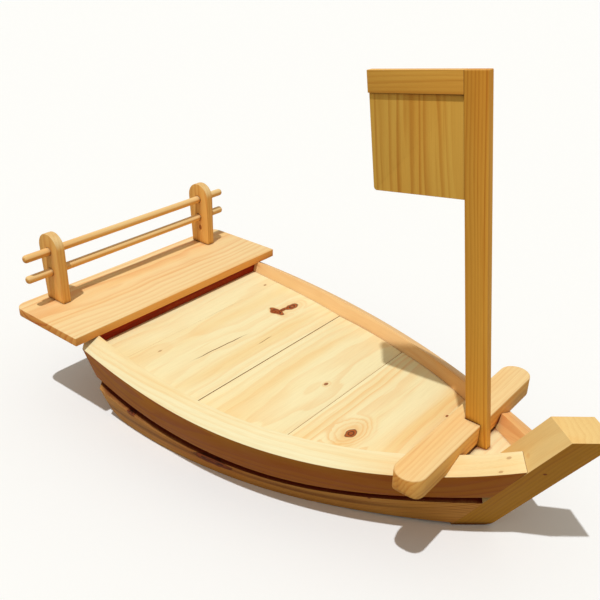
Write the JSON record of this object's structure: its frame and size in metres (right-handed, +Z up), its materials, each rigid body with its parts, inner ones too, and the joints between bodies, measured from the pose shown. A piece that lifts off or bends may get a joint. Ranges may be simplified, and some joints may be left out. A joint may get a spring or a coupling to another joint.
{
  "type": "wooden sushi boat",
  "caption": "Planked wooden serving boat with a board floor, raked stem, crossbeam, mast with a board flag, and a stern shelf with a two-bar rail.",
  "frame": {"origin": "on the table, midway along the boat's length, on its centre plane", "axes": "+X to the bow, +Y to port, +Z up"},
  "size_m": [0.5875, 0.3, 0.3982],
  "materials": {
    "hull_pine": "bare planed softwood",
    "stem_pine": "bare planed softwood",
    "floor_pine": "bare planed softwood",
    "inner_pine": "bare planed softwood",
    "shelf_pine": "bare planed softwood",
    "rail_pine": "bare planed softwood",
    "mast_pine": "bare planed softwood"
  },
  "bodies": {
    "root": {"upper_strake_port": "hull_pine", "upper_strake_starboard": "hull_pine", "lower_strake_port": "hull_pine", "lower_strake_starboard": "hull_pine", "stem": "stem_pine", "floor_board_1": "floor_pine", "floor_board_2": "floor_pine", "floor_board_3": "floor_pine", "floor_board_4": "floor_pine", "floor_board_5": "floor_pine", "transom": "inner_pine", "rib_1": "inner_pine", "rib_2": "inner_pine", "rib_3": "inner_pine", "rib_4": "inner_pine", "bottom_board_port": "inner_pine", "bottom_board_centre": "inner_pine", "bottom_board_starboard": "inner_pine", "shelf_knee_port": "inner_pine", "shelf_knee_starboard": "inner_pine", "stern_shelf": "shelf_pine", "crossbeam": "shelf_pine", "rail_post_port": "rail_pine", "rail_post_starboard": "rail_pine", "rail_upper": "rail_pine", "rail_lower": "rail_pine", "mast": "mast_pine", "flag_bar": "mast_pine", "flag_panel": "mast_pine"}
  },
  "joints": []
}
